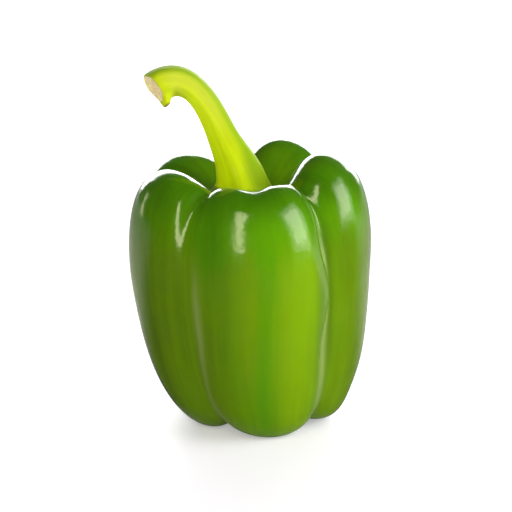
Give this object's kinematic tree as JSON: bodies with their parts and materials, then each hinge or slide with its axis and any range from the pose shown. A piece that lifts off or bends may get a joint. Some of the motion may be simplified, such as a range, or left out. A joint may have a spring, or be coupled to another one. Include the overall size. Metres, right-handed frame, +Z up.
{
  "type": "bell pepper",
  "caption": "Blocky lobed sweet pepper with rounded shoulders, standing on its lobe tips, with a bent, obliquely cut stem rising from its calyx.",
  "frame": {"origin": "on the surface that the pepper stands on, under the middle of its bounding box", "axes": "+Z up along the fruit; -Y is the front, towards the lobe that faces the viewer; the stem bends towards -X"},
  "size_m": [0.0843, 0.0845, 0.127],
  "materials": {
    "pepper_skin": "glossy, waxy green skin with soft lime streaks",
    "stem_skin": "satin yellow-green stalk with a pale dry cut"
  },
  "bodies": {
    "root": {"fruit": "pepper_skin", "stem": "stem_skin"}
  },
  "joints": []
}
